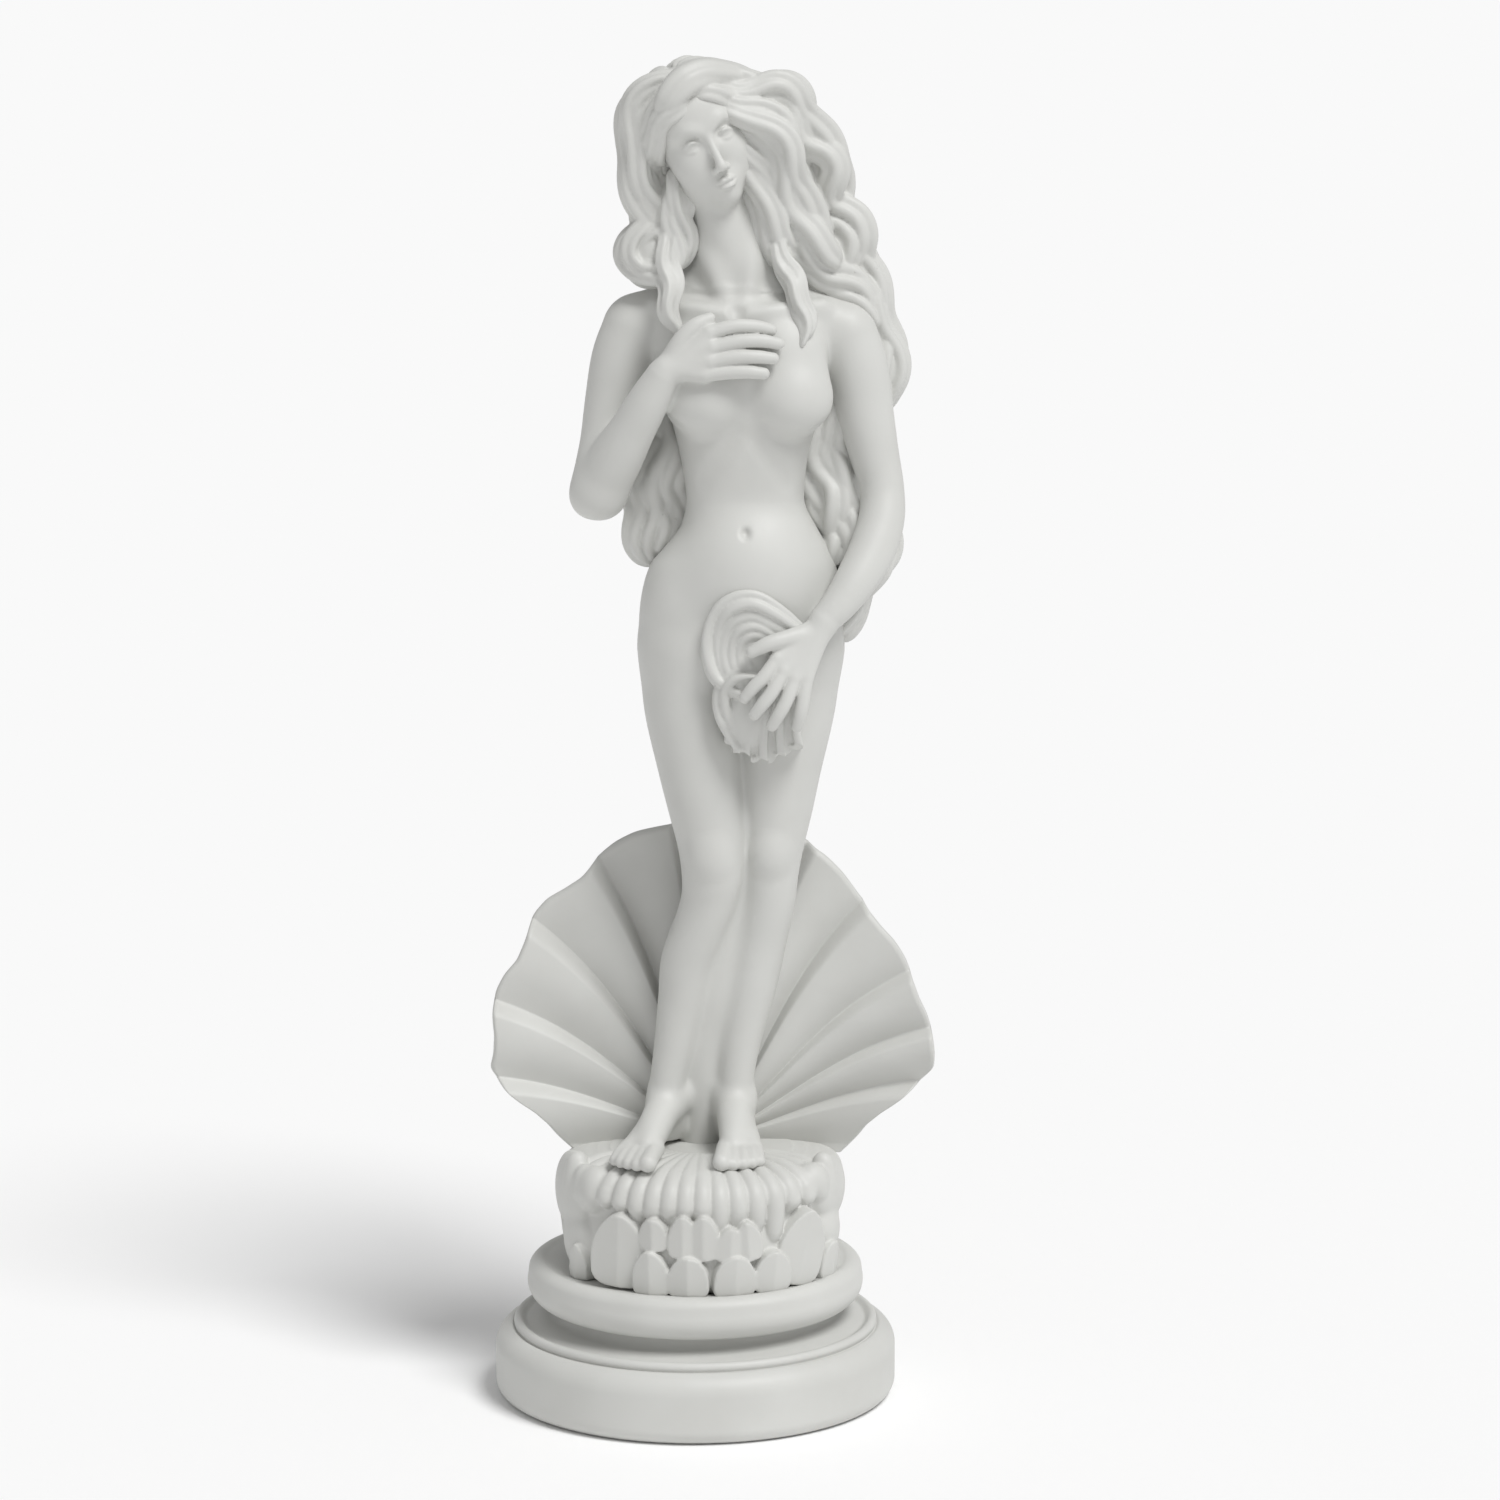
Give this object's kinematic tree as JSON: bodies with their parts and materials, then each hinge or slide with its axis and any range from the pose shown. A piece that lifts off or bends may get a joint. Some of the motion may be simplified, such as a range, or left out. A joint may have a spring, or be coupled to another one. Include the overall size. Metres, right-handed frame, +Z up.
{
  "type": "aphrodite statuette",
  "caption": "Standing classical Aphrodite statuette before an upright scallop shell, on a carved mound and a round moulded plinth; a table or shelf ornament.",
  "frame": {"origin": "centre of the plinth's flat underside, where the statuette stands", "axes": "+Z up; the figure faces -Y; +X is the viewer's right when facing the figure"},
  "size_m": [0.1005, 0.0906, 0.3002],
  "materials": {
    "cast_alabaster": "satin",
    "plinth_alabaster": "satin"
  },
  "bodies": {
    "root": {"figure_with_shell": "cast_alabaster", "plinth": "plinth_alabaster"}
  },
  "joints": []
}
